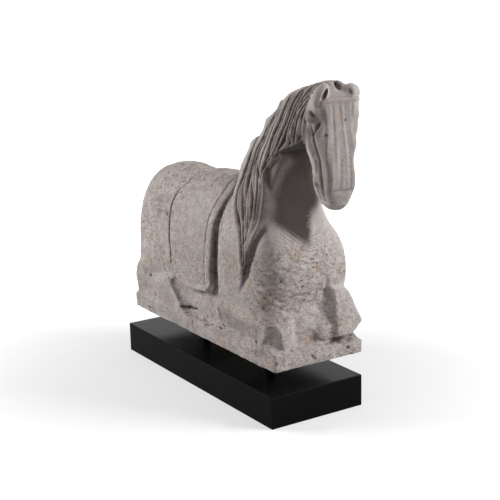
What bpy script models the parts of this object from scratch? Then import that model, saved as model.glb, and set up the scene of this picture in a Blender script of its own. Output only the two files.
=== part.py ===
"""A lying horse, carved and cast in stone in one piece with its slab, on a black stand.

Frame: +X is the way the horse faces, +Y its left side, +Z up.
The origin is the centre of the plinth's underside. Lengths are metres.

The horse is worked out as one field of distances: masses that flow into each
other, then chisel planes, grooves and hollows. Its pose and carving are shares of
its own height: they are drawn in units of which FIGURE_UNITS make that height, with
0 at the slab's top. The slab, the plinth, the posts and the open height between them
each have sizes of their own.
"""
from math import cos, pi, radians, sin

import bpy
import numpy as np
import openvdb

# Driving sizes of the stone
FIGURE_HEIGHT = 0.600      # slab's top to the top of the head
SLAB_LENGTH = 0.660
SLAB_WIDTH = 0.247
SLAB_THICKNESS = 0.038
SLAB_FORWARD = 0.009       # slab's centre ahead of the plinth's centre
SLAB_LEFT = 0.0085         # slab's centre towards the horse's left

# Driving sizes of the stand
PLINTH_LENGTH = 0.685
PLINTH_WIDTH = 0.255
PLINTH_HEIGHT = 0.076
PLINTH_EDGE = 0.0015       # small bevel on every edge of the plinth
OPEN_HEIGHT = 0.055        # from the plinth's top to the slab's underside
POST_RADIUS = 0.010
POST_SPACING = 0.300       # between the two posts' centre lines
JOIN_GAP = 0.0003          # clearance where two pieces meet

# How finely the stone is worked
GRAIN = 0.0050             # spacing of the field's samples
KEEP = 0.080               # share of the faces kept after thinning

FIGURE_UNITS = 600.0
UNIT = FIGURE_HEIGHT / FIGURE_UNITS
SLAB_TOP = PLINTH_HEIGHT + OPEN_HEIGHT + SLAB_THICKNESS
LOCK_WIDTH = 31.0          # one lock of the mane, in units
HEAD_TURN = radians(-16)   # towards the horse's right
HEAD_NOD = radians(6)      # nose a little forward of the poll


# Tools for shaping a field
def join(a, b, blend):
    """Both masses, with a fillet about as wide as blend where they meet."""
    h = np.maximum(blend - np.abs(a - b), 0.0) / blend
    return np.minimum(a, b) - h * h * blend * 0.25


def keep_both(a, b, blend):
    """Only what lies in both masses, with the new edge rounded."""
    return -join(-a, -b, blend)


def curve(t, *knots):
    """A smooth value along t through knots of (t, value), level beyond its ends."""
    ts = np.array([k[0] for k in knots], dtype=float)
    vs = np.array([k[1] for k in knots], dtype=float)
    slope = np.gradient(vs, ts)
    t = np.clip(t, ts[0], ts[-1])
    i = np.clip(np.searchsorted(ts, t) - 1, 0, len(ts) - 2)
    width = ts[i + 1] - ts[i]
    u = (t - ts[i]) / width
    start = (2 * u**3 - 3 * u**2 + 1) * vs[i] + (u**3 - 2 * u**2 + u) * width * slope[i]
    end = (3 * u**2 - 2 * u**3) * vs[i + 1] + (u**3 - u**2) * width * slope[i + 1]
    return start + end


def ramp(t, a, b):
    """0 before a, 1 after b, smooth between."""
    u = np.clip((t - a) / (b - a), 0, 1)
    return u * u * (3 - 2 * u)


def groove(t, width):
    """1 on the line t = 0, falling to 0 at a distance of width."""
    return np.maximum(1 - np.abs(t) / width, 0)


def oval(a, b, half_a, half_b, squareness):
    """A squarish oval section, seen along its own length."""
    f = (np.abs(a / half_a)**squareness + np.abs(b / half_b)**squareness)**(1 / squareness)
    return np.hypot(a, b) * (f - 1) / np.maximum(f, 0.15)


def egg(x, y, z, centre, half):
    """An egg-shaped mass."""
    q = [(v - c) / h for v, c, h in zip((x, y, z), centre, half)]
    near = np.sqrt(q[0]**2 + q[1]**2 + q[2]**2)
    rate = np.sqrt((q[0] / half[0])**2 + (q[1] / half[1])**2 + (q[2] / half[2])**2)
    return near * (near - 1) / np.maximum(rate, 1e-6)


def block(x, y, z, centre, half, radius):
    """A box with rounded edges."""
    q = [np.abs(v - c) - h + radius for v, c, h in zip((x, y, z), centre, half)]
    outside = np.sqrt(sum(np.maximum(v, 0)**2 for v in q))
    inside = np.minimum(np.maximum(np.maximum(q[0], q[1]), q[2]), 0)
    return outside + inside - radius


def limb(x, y, z, start, end, radius_start, radius_end):
    """A rounded limb that tapers from start to end."""
    a = np.array(start, dtype=float)
    d = np.array(end, dtype=float) - a
    p = (x - a[0], y - a[1], z - a[2])
    t = np.clip((p[0] * d[0] + p[1] * d[1] + p[2] * d[2]) / (d @ d), 0, 1)
    away = np.sqrt((p[0] - t * d[0])**2 + (p[1] - t * d[1])**2 + (p[2] - t * d[2])**2)
    return away - radius_start - t * (radius_end - radius_start)


def face(x, y, z, point, outward):
    """A chisel cut: the stone behind a flat face through a point."""
    n = np.array(outward, dtype=float)
    n = n / np.linalg.norm(n)
    return (x - point[0]) * n[0] + (y - point[1]) * n[1] + (z - point[2]) * n[2]


def chiselled(x, y, z, *faces):
    """The stone behind every one of several faces."""
    d = face(x, y, z, *faces[0])
    for one in faces[1:]:
        d = keep_both(d, face(x, y, z, *one), 4)
    return d


def silhouette(a, b, points):
    """Distance to a closed outline drawn in a plane, below 0 inside it."""
    nearest = np.full(a.shape, 1e9)
    sign = np.ones(a.shape)
    for p, q in zip(points, points[1:] + points[:1]):
        along = (q[0] - p[0], q[1] - p[1])
        off = (a - p[0], b - p[1])
        t = np.clip((off[0] * along[0] + off[1] * along[1]) / (along[0]**2 + along[1]**2), 0, 1)
        nearest = np.minimum(nearest, (off[0] - t * along[0])**2 + (off[1] - t * along[1])**2)
        above = b >= p[1]
        below = b < q[1]
        left = along[0] * off[1] > along[1] * off[0]
        sign = np.where((above & below & left) | (~above & ~below & ~left), -sign, sign)
    return sign * np.sqrt(nearest)


# The masses of the horse, in units, with z = 0 at the slab's top
def trunk(x, y, z):
    """Back, barrel and rump."""
    top = curve(x, (-330, 308), (-300, 329), (-250, 347), (-200, 353), (-130, 349), (-60, 348),
                (0, 351), (60, 348), (120, 334), (180, 305), (240, 270), (320, 230))
    wide = curve(x, (-330, 99), (-138, 101), (62, 98), (120, 102), (200, 106), (320, 108))
    front = curve(z, (0, 286), (60, 290), (110, 300), (150, 310), (190, 311), (230, 300), (270, 280), (330, 250))
    rear = curve(z, (-40, 314), (0, 318), (30, 326), (62, 334), (140, 333), (330, 333))
    d = oval(y, z - 111, wide, top - 111, 2.5)
    d = keep_both(d, x - front, 45)
    return keep_both(d, -x - rear, 34)


def breast(x, y, z):
    """Deep chest between the forelegs."""
    front = curve(z, (0, 286), (60, 290), (110, 300), (150, 311), (190, 312), (230, 300), (270, 276), (330, 240))
    side = curve(z, (0, 100), (60, 104), (120, 112), (190, 114), (240, 112))
    d = block(x, y - 1, z, (220, 0, 110), (130, 130, 146), 60)
    d = keep_both(d, x - front, 40)
    return keep_both(d, np.abs(y - 1) - side, 26)


def neck_middle(z):
    """How far the neck's middle leans to the left at each height."""
    return curve(z, (300, 0), (480, 4), (600, 12))


def neck(x, y, z):
    """Neck in level slices, from the withers to the poll: narrow crest, broad throat."""
    crest = curve(z, (230, -10), (300, 32), (352, 74), (417, 116), (477, 170), (534, 229), (578, 297),
                  (590, 347), (594, 380))
    throat = curve(z, (200, 294), (270, 294), (311, 286), (358, 278), (396, 282), (430, 292), (480, 306),
                   (534, 320), (578, 350), (600, 384))
    wide = curve(z, (200, 108), (286, 102), (311, 94), (358, 73), (396, 60), (426, 53), (477, 46),
                 (534, 39), (578, 32), (600, 20))
    square = curve(z, (200, 3.4), (311, 3.4), (420, 2.8), (600, 2.6))
    middle = 0.5 * (crest + throat)
    half = np.maximum(0.5 * (throat - crest), 4)
    taper = 0.78 + 0.22 * np.clip((x - middle) / half, -1, 1)
    d = oval(x - middle, y - neck_middle(z), half, wide * taper, square) * 0.75
    return keep_both(d, z - 594, 14)


def mane(x, y, z, under):
    """Locks falling down the right side of the neck to a point on the shoulder."""
    back = curve(z, (112, 190), (171, 178), (231, 152), (301, 116), (340, 94), (372, 86), (388, 40))
    front = curve(z, (112, 196), (151, 220), (209, 248), (260, 268), (311, 278), (350, 264), (394, 252),
                  (426, 268), (446, 296), (461, 322), (468, 356), (520, 364), (600, 392))
    side = np.maximum(np.maximum(back - x, x - front), 114 - z)
    gathered = 252 - (front - x) * 212 / np.maximum(front - back, 3)
    strand = np.where(z < 394, gathered, x - 0.18 * (z - 394))
    thick = 12 - 6 * ramp(z, 480, 600)
    right_of_crest = ramp(neck_middle(z) + 10 - y, 0, 18)
    d = under - thick * right_of_crest + 5 * (1 - np.abs(np.sin(pi * strand / LOCK_WIDTH)))
    d = keep_both(d, z - 600, 6)
    return keep_both(d, side * 0.8, 5)


def blanket_front(z):
    """Front edge of the saddle blanket, drifting forward near the withers."""
    return 62 + 32 * ramp(z, 240, 340)


def blanket(x, y, z, under):
    """Saddle blanket with a rolled border in front and an incised line inside each border."""
    past_front = x - blanket_front(z)
    hem = curve(x, (-150, 92), (-129, 88), (-94, 74), (-64, 69), (-7, 70), (30, 74), (50, 82), (70, 104))
    d = under - 8 - 5 * ramp(past_front, -34, -26)
    d = d + 4.0 * groove(past_front + 29, 6) + 3.5 * groove(x + 133, 5)
    d = keep_both(d, np.maximum(past_front, -x - 138), 6)
    return keep_both(d, hem - z, 8)


def head_lengths(x, y, z):
    """Lengths along the head's own axes: forward, left and up, from the middle of the brow."""
    dx = x - 428
    dy = y + 5
    dz = z - 567
    level = dx * cos(HEAD_TURN) + dy * sin(HEAD_TURN)
    left = -dx * sin(HEAD_TURN) + dy * cos(HEAD_TURN)
    forward = level * cos(HEAD_NOD) + dz * sin(HEAD_NOD)
    up = -level * sin(HEAD_NOD) + dz * cos(HEAD_NOD)
    return forward, left, up


def head(x, y, z):
    """Long flat-faced head: its side outline, as wide as the face is at each height."""
    s, v, w = head_lengths(x, y, z)
    outline = [(0, 0), (-18, 26), (-56, 43), (-92, 26), (-110, -55), (-108, -112), (-96, -150), (-88, -190),
               (-72, -218), (-48, -230), (-14, -228), (2, -204), (4, -165), (-2, -60)]
    wide = curve(w, (-235, 14), (-220, 22), (-200, 29), (-165, 32), (-125, 35), (-98, 43), (-40, 48),
                 (0, 46), (24, 36), (40, 24))
    d = keep_both(silhouette(s, w, outline), np.abs(v) - wide, 12)
    d = keep_both(d, -egg(s, np.abs(v), w, (-62, 54, -95), (34, 16, 62)), 8)
    return join(d, egg(s, np.abs(v), w, (-24, 45, -38), (15, 9, 10)), 4)


def ears(x, y, z):
    """Two leaf-shaped ears laid back, each hollowed in front."""
    s, v, w = head_lengths(x, y, z)
    back = (s + 14) * cos(0.30) + (w - 8) * sin(0.30)
    up = -(s + 14) * sin(0.30) + (w - 8) * cos(0.30)
    out = np.abs(v) - 36 + 0.22 * (w - 8)
    leaf = egg(out, back, up, (0, 0, 0), (13, 11, 29))
    return keep_both(leaf, -egg(out, back, up, (0, 13, 0), (8, 9, 23)), 2)


def hind_legs(x, y, z):
    """Haunches, with the lower legs folded forward along the slab."""
    a = np.abs(y)
    top = curve(x, (-330, 46), (-276, 54), (-133, 82), (-70, 84))
    shank = block(x, a, z, (-190, 88, 20), (132, 26, 64), 20)
    shank = keep_both(shank, z - top, 14)
    shank = keep_both(shank, face(x, a, z, (-80, 0, 22), (1, 0, 0.59)), 14)
    haunch = egg(x, a, z, (-236, 30, 108), (118, 80, 128))
    heel = egg(x, a, z, (-280, 74, 60), (57, 43, 42))
    toe = limb(x, a, z, (-150, 96, 12), (-66, 92, 9), 17, 12)
    return join(join(join(shank, haunch, 8), heel, 14), toe, 6)


def tail(x, y, z):
    """A plain tail laid flat down the rump to the slab."""
    wide = curve(z, (0, 16), (60, 22), (150, 26), (250, 19), (305, 10))
    root = curve(z, (0, -328), (62, -338), (220, -341), (300, -322), (330, -296))
    d = keep_both(np.abs(y) - wide, root - x, 14)
    return keep_both(np.maximum(d, x + 270), z - 318, 10)


def forelegs(x, y, z):
    """Forelegs folded under, with chiselled knees at the slab's front."""
    a = np.abs(y - 4)
    shin = block(x, a, z, (196, 97, 30), (112, 22, 52), 20)
    shin = keep_both(shin, face(x, a, z, (135, 119, 76), (0.19, -0.25, 1)), 5)
    arm = limb(x, a, z, (120, 66, 92), (290, 80, 60), 46, 34)
    right_knee = chiselled(
        x, y, z,
        ((330, -75, 40), (1, 0.10, 0.08)), ((300, -116, 40), (-0.03, -1, 0.10)), ((322, -50, 40), (0.45, 1, 0.10)),
        ((318, -88, 76), (0.55, -0.15, 1)), ((320, -90, 12), (0.25, 0, -1)), ((318, -103, 40), (0.55, -0.83, -0.12)),
        ((246, 0, 0), (-1, 0, 0)))
    left_knee = chiselled(
        x, y, z,
        ((340, 90, 40), (1, 0.04, 0.18)), ((336, 130, 44), (0.03, 1, 0.40)), ((336, 52, 40), (0.62, -1, 0)),
        ((318, 90, 120), (0.62, 0.22, 1)), ((330, 80, 16), (0.10, 0.05, -1)), ((340, 118, 28), (0.4, 0.6, -0.7)),
        ((230, 0, 0), (-1, 0, 0)))
    d = join(join(shin, arm, 3), right_knee, 8)
    return join(d, left_knee, 6)


def slab(x, y, z):
    """The slab under the horse, its top a little uneven and risen under the knees."""
    half = (0.5 * SLAB_LENGTH / UNIT, 0.5 * SLAB_WIDTH / UNIT)
    mid = (SLAB_FORWARD / UNIT, SLAB_LEFT / UNIT)
    depth = SLAB_THICKNESS / UNIT
    to_front = mid[0] + half[0] - x
    near_front = 1 - ramp(to_front, 0, 90)
    worn = -10 * near_front * ramp(y, 0, 124) + 3 * near_front * ramp(-y, 0, 115)
    risen = 14 * ramp(to_front, 0, 34 + 30 * ramp(y, 40, 130)) * (1 - ramp(to_front, 60, 190))
    d = block(x, y, z, (mid[0], mid[1], -depth), (half[0], half[1], depth + 8), 4)
    return keep_both(d, z - worn - risen, 3)


def horse(x, y, z):
    """The whole stone: trunk, breast, neck, mane, blanket, head and legs on their slab."""
    bare = join(trunk(x, y, z), breast(x, y, z), 30)
    past_front = x - blanket_front(z)
    shoulder_hollow = 12 * (1 - ramp(past_front, 0, 46)) * ramp(past_front, -30, -10)
    d = bare + shoulder_hollow * ramp(z, 40, 90) * (1 - ramp(z, 250, 340))
    d = keep_both(d, -egg(x, np.abs(y), z, (-10, 132, 10), (76, 42, 74)), 6)
    d = join(d, neck(x, y, z), 34 - 22 * ramp(z, 300, 350))
    d = join(d, blanket(x, y, z, bare), 1.5)
    d = join(d, mane(x, y, z, d), 2)
    d = join(d, head(x, y, z), 8)
    d = join(d, ears(x, y, z), 3)
    d = join(d, tail(x, y, z), 3)
    d = join(d, hind_legs(x, y, z), 10)
    d = join(d, forelegs(x, y, z), 8)
    d = keep_both(d, -z - 0.5 * SLAB_THICKNESS / UNIT, 1)
    return join(d, slab(x, y, z), 5)


# From field to mesh
def work_stone(field, low, high, spacing):
    """Sample the field near its surface and return the surface's points and faces."""
    coarse = 4
    low = np.array(low, dtype=float)
    cells = np.ceil((np.array(high) - low) / (spacing * coarse)).astype(int)
    axes = [low[i] + spacing * coarse * np.arange(cells[i] + 1) for i in range(3)]
    grid = np.meshgrid(*axes, indexing="ij")
    rough = field(*[g.ravel() for g in grid]).reshape(grid[0].shape)
    corners = [rough[i:cells[0] + i, j:cells[1] + j, k:cells[2] + k]
               for i in (0, 1) for j in (0, 1) for k in (0, 1)]
    least = np.minimum.reduce(corners)
    most = np.maximum.reduce(corners)
    reach = spacing * coarse * 1.8
    limit = spacing * 4
    values = np.full(cells * coarse + 1, limit, dtype=np.float32)
    solid = np.where(least + most > 0, limit, -limit)
    for axis in range(3):
        solid = np.repeat(solid, coarse, axis)
    values[:-1, :-1, :-1] = solid
    steps = np.arange(coarse + 1)
    inner = np.stack(np.meshgrid(steps, steps, steps, indexing="ij"), -1).reshape(-1, 3)
    near = np.argwhere((least < reach) & (most > -reach))
    for first in range(0, len(near), 4000):
        at = (near[first:first + 4000, None, :] * coarse + inner).reshape(-1, 3)
        place = low + at * spacing
        values[at[:, 0], at[:, 1], at[:, 2]] = np.clip(field(*place.T), -limit, limit)
    volume = openvdb.FloatGrid(limit)
    volume.copyFromArray(values)
    points, triangles, quads = volume.convertToPolygons(isovalue=0.0, adaptivity=0.0)
    return points * spacing + low, quads[:, ::-1], triangles[:, ::-1]


# Materials
def material(name, colour, roughness, metallic):
    m = bpy.data.materials.new(name)
    m.use_nodes = True
    shader = m.node_tree.nodes["Principled BSDF"]
    shader.inputs["Base Color"].default_value = (*colour, 1)
    shader.inputs["Roughness"].default_value = roughness
    shader.inputs["Metallic"].default_value = metallic
    return m


def collection(name):
    c = bpy.data.collections.new(name)
    bpy.context.scene.collection.children.link(c)
    return c


def file_under(ob, name, group, finish=None):
    """Name an object, give it its material and put it in its collection."""
    ob.name = name
    ob.data.name = name
    for c in list(ob.users_collection):
        c.objects.unlink(ob)
    group.objects.link(ob)
    if finish:
        ob.data.materials.append(finish)
    return ob


def box(size, centre):
    """A box from a primitive, with its size in its mesh."""
    bpy.ops.mesh.primitive_cube_add(size=1, location=centre)
    ob = bpy.context.object
    ob.scale = size
    bpy.ops.object.transform_apply(location=False, rotation=False, scale=True)
    return ob


# Building
def build_horse(group, cutters):
    low = (min(-350, (SLAB_FORWARD - 0.5 * SLAB_LENGTH) / UNIT - 15),
           min(-140, (SLAB_LEFT - 0.5 * SLAB_WIDTH) / UNIT - 15),
           -SLAB_THICKNESS / UNIT - 20)
    high = (max(480, (SLAB_FORWARD + 0.5 * SLAB_LENGTH) / UNIT + 15),
            max(148, (SLAB_LEFT + 0.5 * SLAB_WIDTH) / UNIT + 15),
            630)
    points, quads, triangles = work_stone(horse, low, high, GRAIN / UNIT)
    mesh = bpy.data.meshes.new("stone_horse")
    mesh.from_pydata((points * UNIT).tolist(), [], quads.tolist() + triangles.tolist())
    ob = bpy.data.objects.new("stone_horse", mesh)
    ob.location = (0, 0, SLAB_TOP)
    file_under(ob, "stone_horse", group, material("pale_stone", (0.47, 0.42, 0.38), 0.9, 0.0))

    thin = ob.modifiers.new("thin out the faces", "DECIMATE")
    thin.ratio = KEEP

    # The slab's underside is sawn flat
    depth = 0.1
    size = (SLAB_LENGTH + 0.4, SLAB_WIDTH + 0.4, depth)
    saw = box(size, (SLAB_FORWARD, SLAB_LEFT, SLAB_TOP - SLAB_THICKNESS - 0.5 * depth))
    file_under(saw, "underside_saw", cutters)
    saw.hide_render = True
    saw.display_type = "WIRE"
    flat = ob.modifiers.new("saw the underside flat", "BOOLEAN")
    flat.operation = "DIFFERENCE"
    flat.object = saw


def build_plinth(group):
    ob = box((PLINTH_LENGTH, PLINTH_WIDTH, PLINTH_HEIGHT), (0, 0, 0.5 * PLINTH_HEIGHT))
    file_under(ob, "plinth", group, material("black_lacquer", (0.012, 0.012, 0.012), 0.35, 0.0))
    edge = ob.modifiers.new("soft edges", "BEVEL")
    edge.width = PLINTH_EDGE
    edge.segments = 2


def build_posts(group):
    """Two plain round posts on the centre line, between the plinth and the slab."""
    steel = material("black_steel", (0.02, 0.02, 0.02), 0.45, 1.0)
    height = OPEN_HEIGHT - 2 * JOIN_GAP
    for name, side in (("post_rear", -1), ("post_front", 1)):
        place = (0.5 * side * POST_SPACING, 0, PLINTH_HEIGHT + 0.5 * OPEN_HEIGHT)
        bpy.ops.mesh.primitive_cylinder_add(vertices=32, radius=POST_RADIUS, depth=height, location=place)
        ob = file_under(bpy.context.object, name, group, steel)
        ob.data.shade_smooth()
        ob.data.set_sharp_from_angle(angle=radians(40))


def main():
    for ob in list(bpy.data.objects):
        bpy.data.objects.remove(ob)
    group = collection("horse_statue")
    cutters = collection("cutters")
    build_horse(group, cutters)
    build_plinth(group)
    build_posts(group)


main()
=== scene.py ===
"""A lying horse in pale weathered stone on a black stand: finish, floor, light and camera.

Frame: +X is the way the horse faces, +Y its left side, +Z up, in metres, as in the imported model.

The carving is one field of distances, below 0 inside the stone, in units of which FIGURE_UNITS make
the figure's height, with 0 at the slab's top. Masses come first, then planes, grooves and strands,
then wear and pits. A function of the field takes places as arrays x, y and z and gives one value for
each place; adding to the field takes stone away. The carving fills the space of the plainer stone in
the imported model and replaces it.
"""
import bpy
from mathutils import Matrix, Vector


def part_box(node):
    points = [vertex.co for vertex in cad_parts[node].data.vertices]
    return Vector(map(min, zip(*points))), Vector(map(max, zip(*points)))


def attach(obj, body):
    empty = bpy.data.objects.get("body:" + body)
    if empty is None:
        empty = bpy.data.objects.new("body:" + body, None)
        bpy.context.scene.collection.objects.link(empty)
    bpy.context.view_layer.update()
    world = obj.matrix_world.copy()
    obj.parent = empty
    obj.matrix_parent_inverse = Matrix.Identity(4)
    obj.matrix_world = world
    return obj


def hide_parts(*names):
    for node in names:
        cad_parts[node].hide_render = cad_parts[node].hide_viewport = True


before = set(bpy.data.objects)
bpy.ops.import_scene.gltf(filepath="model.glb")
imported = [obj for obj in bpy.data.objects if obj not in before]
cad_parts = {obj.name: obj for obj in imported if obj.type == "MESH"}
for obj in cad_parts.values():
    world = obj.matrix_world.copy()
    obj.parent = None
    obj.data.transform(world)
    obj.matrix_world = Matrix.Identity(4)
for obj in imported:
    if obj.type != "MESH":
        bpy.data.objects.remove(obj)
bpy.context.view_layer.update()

from concurrent.futures import ThreadPoolExecutor
from math import cos, radians, sin

import bpy
import numpy as np
import openvdb
from mathutils import Matrix

# Sizes of the stone, in metres
FIGURE_HEIGHT = 0.600
FIGURE_UNITS = 600.0
UNIT = FIGURE_HEIGHT / FIGURE_UNITS
SLAB_LENGTH = 0.660
SLAB_WIDTH = 0.247
SLAB_THICKNESS = 0.038
SLAB_FORWARD = 0.009
SLAB_LEFT = 0.0085
SLAB_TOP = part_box("stone_horse")[0].z + SLAB_THICKNESS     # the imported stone's underside is the slab's

# Sizes of the carving, in units
GRAIN = 1.9      # spacing of the field's samples
COARSE = 4                              # samples along a coarse cell, where the field is tried first
MOST_TRIANGLES = 190000
FAR_AWAY = 60.0                         # further than any fillet reaches
PIT_REACH = 24                          # from a pit's start, wider than any pit
SLAB_DEPTH = SLAB_THICKNESS / UNIT
FIELD_LOW = (-362, -140, -SLAB_DEPTH - 14)
FIELD_HIGH = (480, 148, 630)
NECK_TOP = 594
MANE_TOP = 602
MANE_POINT = 118
BROW = (428, -5, 567)                   # the middle of the brow, where the head's own axes start
HEAD_TURN = radians(-16)                # towards the horse's right
HEAD_NOD = radians(6)                   # nose a little forward of the poll
EAR_LEAN = radians(30)

# The deep grooves between the mane's locks, from the shoulder forward, in units: the height where
# each one starts, and its line as places of (height, x)
MANE_GROOVES = (
    (198, (198, 230), (224, 226), (245, 218), (262, 205), (277, 186), (295, 167), (309, 152), (329, 138),
     (366, 131), (390, 134)),
    (184, (184, 231), (203, 235), (226, 233), (247, 226), (266, 212), (284, 197), (304, 184), (325, 171),
     (343, 157), (364, 148), (386, 145), (413, 148)),
    (240, (248, 233), (274, 214), (307, 199), (327, 189), (354, 176), (389, 166), (412, 168), (435, 174),
     (466, 192)),
    (244, (247, 236), (290, 226), (311, 223), (332, 215), (351, 201), (370, 187), (391, 181), (414, 182),
     (455, 192), (485, 207), (514, 226)),
    (290, (281, 244), (313, 240), (334, 233), (375, 216), (395, 204), (414, 197), (437, 198), (461, 209),
     (485, 223), (525, 248)),
    (376, (376, 225), (398, 224), (421, 228), (444, 237), (474, 251), (500, 264), (530, 274), (564, 291)),
    (400, (400, 228), (416, 233), (433, 249), (449, 261), (470, 273), (516, 294), (559, 311), (590, 335)),
    (427, (427, 250), (441, 265), (455, 276), (475, 287), (516, 304), (557, 321), (582, 338)),
    (450, (450, 277), (475, 292), (494, 302), (538, 321), (554, 330), (568, 342), (582, 357)),
    (463, (463, 300), (491, 307), (511, 313), (532, 324), (551, 339), (577, 366), (591, 378)),
    (466, (466, 314), (491, 323), (511, 329), (532, 338), (551, 351), (577, 376), (591, 388)),
    (474, (474, 329), (491, 336), (511, 342), (532, 348), (545, 354), (560, 364)),
)

# Holes and cracks that age has opened in the stone: start, end and radius, in units
PITS = (
    ((254, -109, 167), (255, -110, 155), 2.6), ((253, -110, 148), (253, -110, 147), 1.8),
    ((304, -38, 140), (322, -20, 142), 2.0), ((311, -38, 206), (308, -42, 199), 2.4),
    ((192, -127, 195), (192, -127, 193), 3.2), ((294, -93, 121), (295, -92, 116), 2.4),
    ((294, -64, 112), (306, -50, 109), 1.8), ((327, -80, 73), (329, -74, 70), 2.6),
    ((290, -28, 26), (299, -16, 22), 4.0), ((320, 32, 6), (323, 46, 4), 3.4),
    ((271, -119, 19), (273, -119, 17), 2.8), ((339, 88, -18), (340, 92, -20), 2.8),
    ((340, -12, -18), (340, -5, -26), 2.2), ((339, -110, -14), (339, -110, -20), 2.4),
    ((343, 64, 50), (343, 64, 45), 2.4), ((238, -114, 86), (241, -113, 84), 1.8),
    ((277, -115, 70), (278, -114, 66), 2.2), ((298, 22, 57), (299, 24, 52), 2.2),
    ((202, -128, 164), (202, -128, 162), 1.8),
    ((204, -128, 146), (205, -128, 144), 2.2), ((-243, -110, 62), (-235, -110, 60), 2.4),
    ((-209, -116, 19), (-206, -116, 17), 2.2), ((-77, -96, 66), (-76, -96, 64), 2.0),
    ((-2, -103, 258), (6, -102, 264), 2.2), ((-243, -116, -25), (-240, -116, -27), 2.6),
    ((-145, -116, -5), (-143, -116, -7), 2.0), ((247, -112, 176), (248, -111, 173), 2.0),
    ((312, -78, 162), (312, -76, 158), 2.0), ((432, -36, 496), (416, -30, 495), 2.2),
    ((433, 9, 525), (433, 9, 524), 1.6), ((271, -40, 360), (276, -32, 352), 2.2),
    ((292, -48, 262), (298, -40, 256), 1.8), ((-60, -111, 200), (-58, -111, 197), 2.0),
    ((-86, -111, 150), (-84, -111, 148), 1.8), ((-30, -111, 176), (-27, -111, 180), 1.8),
    ((-196, -90, 262), (-190, -92, 256), 2.6), ((-168, -92, 236), (-166, -92, 232), 2.2),
    ((-20, -116, -6), (-22, -116, -26), 1.5),
)

# The camera, solved from the straight edges of the slab and the plinth
VIEW_AZIMUTH = radians(57.19)
VIEW_ELEVATION = radians(14.22)
VIEW_ROLL = radians(-1.3)
VIEW_DISTANCE = 2.933
VIEW_RIGHT = 0.0308
VIEW_UP = 0.3178
PICTURE_PIXELS = 500
FOCAL_PIXELS = 1155
SENSOR = 36.0

# The studio
FLOOR_SIZE = 30
SOFTBOX_SIZE = 1.7
LIGHT_AIM = (0, 0, 0.4)
SOFTBOXES = {"left softbox": ((-2.2, -2.5, 1.9), 124), "right softbox": ((2.4, 2.3, 2.0), 150)}

# Colours of the finishes
STONE_GREY = (0.392, 0.353, 0.343, 1)
STONE_PALE = (0.456, 0.415, 0.404, 1)
OCHRE = (0.395, 0.315, 0.25, 1)
STAIN = (0.225, 0.160, 0.115, 1)
# Brown deposits with painted shade, for the hollows, the cut lines and the mane's grooves
DEPOSIT_AND_SHADE = (0.085, 0.058, 0.042, 1)
# Near-black brown for painted shade on sheltered parts and steep walls, with some patina in hollows
PATINA_AND_SHADE = (0.026, 0.019, 0.016, 1)
# Paler stone for the painted highlights on edges, the cheek's rim and the strands' backs
HIGHLIGHT_STONE = (0.55, 0.515, 0.505, 1)
PIT_BROWN = (0.070, 0.045, 0.030, 1)
LACQUER_BLACK = (0.004, 0.004, 0.0042, 1)
STEEL_BLACK = (0.010, 0.010, 0.0105, 1)
FLOOR_GREY = (0.5, 0.5, 0.5, 1)
WHITE = (1, 1, 1, 1)


# Tools for shaping a field
def join(a, b, blend):
    """Both masses, with a fillet about as wide as blend where they meet."""
    h = np.maximum(blend - np.abs(a - b), 0.0) / blend
    return np.minimum(a, b) - h * h * blend * 0.25


def keep_both(a, b, blend):
    """Only what lies in both masses, with the new edge rounded."""
    return -join(-a, -b, blend)


def curve(t, *knots):
    """A smooth value along t through knots of (t, value), level beyond its ends."""
    ts = np.array([k[0] for k in knots], dtype=float)
    vs = np.array([k[1] for k in knots], dtype=float)
    slope = np.gradient(vs, ts)
    t = np.clip(t, ts[0], ts[-1])
    i = np.clip(np.searchsorted(ts, t) - 1, 0, len(ts) - 2)
    width = ts[i + 1] - ts[i]
    u = (t - ts[i]) / width
    start = (2 * u**3 - 3 * u**2 + 1) * vs[i] + (u**3 - 2 * u**2 + u) * width * slope[i]
    end = (3 * u**2 - 2 * u**3) * vs[i + 1] + (u**3 - u**2) * width * slope[i + 1]
    return start + end


def ramp(t, a, b):
    """0 before a, 1 after b, smooth between."""
    u = np.clip((t - a) / (b - a), 0, 1)
    return u * u * (3 - 2 * u)


def between(t, a, b, soft):
    """1 from a to b, falling to 0 over soft outside them."""
    return ramp(t, a - soft, a) * (1 - ramp(t, b, b + soft))


def groove(t, width):
    """1 on the line t = 0, falling to 0 at a distance of width."""
    return np.maximum(1 - np.abs(t) / width, 0)


def most(*values):
    """The largest of several values at each point."""
    return np.maximum.reduce(values)


def oval(a, b, half_a, half_b, squareness):
    """A squarish oval section, seen along its own length."""
    f = (np.abs(a / half_a)**squareness + np.abs(b / half_b)**squareness)**(1 / squareness)
    return np.hypot(a, b) * (f - 1) / np.maximum(f, 0.15)


def egg(x, y, z, centre, half):
    """An egg-shaped mass."""
    q = [(v - c) / h for v, c, h in zip((x, y, z), centre, half)]
    near = np.sqrt(q[0]**2 + q[1]**2 + q[2]**2)
    rate = np.sqrt((q[0] / half[0])**2 + (q[1] / half[1])**2 + (q[2] / half[2])**2)
    return near * (near - 1) / np.maximum(rate, 1e-6)


def egg_mark(x, y, z, centre, half):
    """1 in the middle of an egg-shaped patch, falling to 0 at its rim."""
    q = [(v - c) / h for v, c, h in zip((x, y, z), centre, half)]
    return 1 - ramp(np.sqrt(q[0]**2 + q[1]**2 + q[2]**2), 0, 1)


def block(x, y, z, centre, half, radius):
    """A box with rounded edges."""
    q = [np.abs(v - c) - h + radius for v, c, h in zip((x, y, z), centre, half)]
    outside = np.sqrt(sum(np.maximum(v, 0)**2 for v in q))
    return outside + np.minimum(most(*q), 0) - radius


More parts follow.
